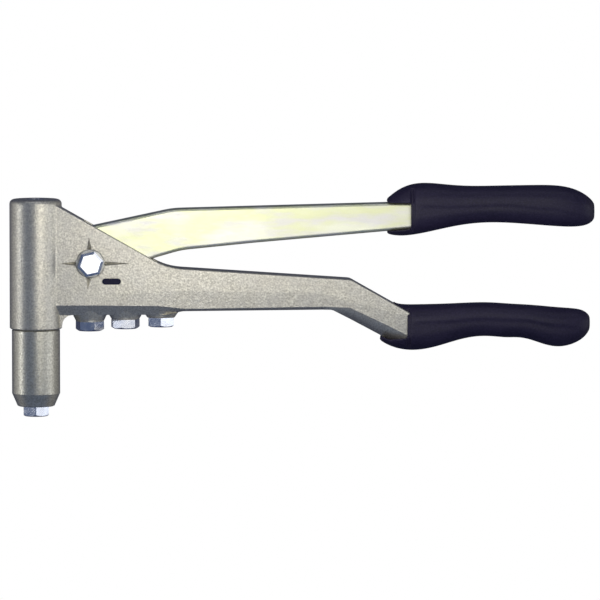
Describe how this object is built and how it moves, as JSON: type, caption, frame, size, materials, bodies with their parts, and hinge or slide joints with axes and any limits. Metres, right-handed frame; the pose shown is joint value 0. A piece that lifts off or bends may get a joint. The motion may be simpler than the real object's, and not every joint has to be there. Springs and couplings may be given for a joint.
{
  "type": "hand riveter",
  "caption": "Plier-type hand riveter: a hinged lever lifts sprung jaws that grip and pull a blind rivet's stem through a hexagonal nozzle; spare nozzles park under the body.",
  "frame": {"origin": "centre of the fitted nozzle's mouth, on the nozzle axis", "axes": "+Y up the nozzle axis into the barrel, +X along the closed handles, +Z along the pivot bolt towards its head; the tool lies flat in the XY plane"},
  "size_m": [0.28, 0.111, 0.0255],
  "materials": {
    "cast_alloy": "fine sand-blasted die casting, warm grey",
    "sleeve_steel": "matt blasted steel, slightly darker than the body",
    "bright_zinc": "bright blue-passivated zinc plate",
    "matt_zinc": "dull zinc plate on stamped steel",
    "yellow_zinc": "pale yellow zinc passivation with faint iridescent patches",
    "hardened_steel": "blackened hardened steel, turned",
    "grip_rubber": "smooth satin dark navy grip"
  },
  "bodies": {
    "frame": {"body_casting": "cast_alloy", "mandrel_exit_bush": "bright_zinc", "nose_sleeve": "sleeve_steel", "nozzle_fitted": "bright_zinc", "spare_nozzle_1": "bright_zinc", "spare_nozzle_2": "bright_zinc", "spare_nozzle_3": "bright_zinc", "pivot_bolt": "bright_zinc", "pivot_washer": "matt_zinc", "pivot_lock_washer": "matt_zinc", "pivot_nut": "bright_zinc", "lever_bush": "hardened_steel", "body_grip": "grip_rubber"},
    "lever_arm": {"lever": "yellow_zinc", "lever_grip": "grip_rubber"},
    "pulling_head": {"traction_body": "hardened_steel", "jaw_case": "hardened_steel", "jaw_spring": "hardened_steel"},
    "pusher": {"jaw_pusher": "hardened_steel"},
    "jaw_1": {"jaw_1": "hardened_steel"},
    "jaw_2": {"jaw_2": "hardened_steel"},
    "jaw_3": {"jaw_3": "hardened_steel"}
  },
  "joints": [
    {"name": "lever_pivot", "type": "hinge", "parent": "frame", "child": "lever_arm", "pos_m": [0.0259, 0.0735, 0], "axis": [0, 0, 1], "range_deg": [0, 20]},
    {"name": "pulling_head_slide", "type": "slide", "parent": "frame", "child": "pulling_head", "axis": [0, 1, 0], "range_m": [-0.0091, 0]},
    {"name": "jaw_pusher_slide", "type": "slide", "parent": "pulling_head", "child": "pusher", "axis": [0, 1, 0], "range_m": [0, 0.0025], "stiffness_N_per_m": 800, "springref_m": -0.006, "deforming": ["jaw_spring"]},
    {"name": "jaw_1_slide", "type": "slide", "parent": "pulling_head", "child": "jaw_1", "axis": [0, 0.989, 0.1478], "range_m": [0, 0.00256]},
    {"name": "jaw_2_slide", "type": "slide", "parent": "pulling_head", "child": "jaw_2", "axis": [0.128, 0.989, -0.0739], "range_m": [0, 0.00256]},
    {"name": "jaw_3_slide", "type": "slide", "parent": "pulling_head", "child": "jaw_3", "axis": [-0.128, 0.989, -0.0739], "range_m": [0, 0.00256]}
  ],
  "couplings": [
    {"joint": "pulling_head_slide", "follows": "lever_pivot", "m_per_rad": -0.02577},
    {"joint": "jaw_1_slide", "follows": "jaw_pusher_slide", "ratio": 1.0111},
    {"joint": "jaw_2_slide", "follows": "jaw_pusher_slide", "ratio": 1.0111},
    {"joint": "jaw_3_slide", "follows": "jaw_pusher_slide", "ratio": 1.0111}
  ]
}
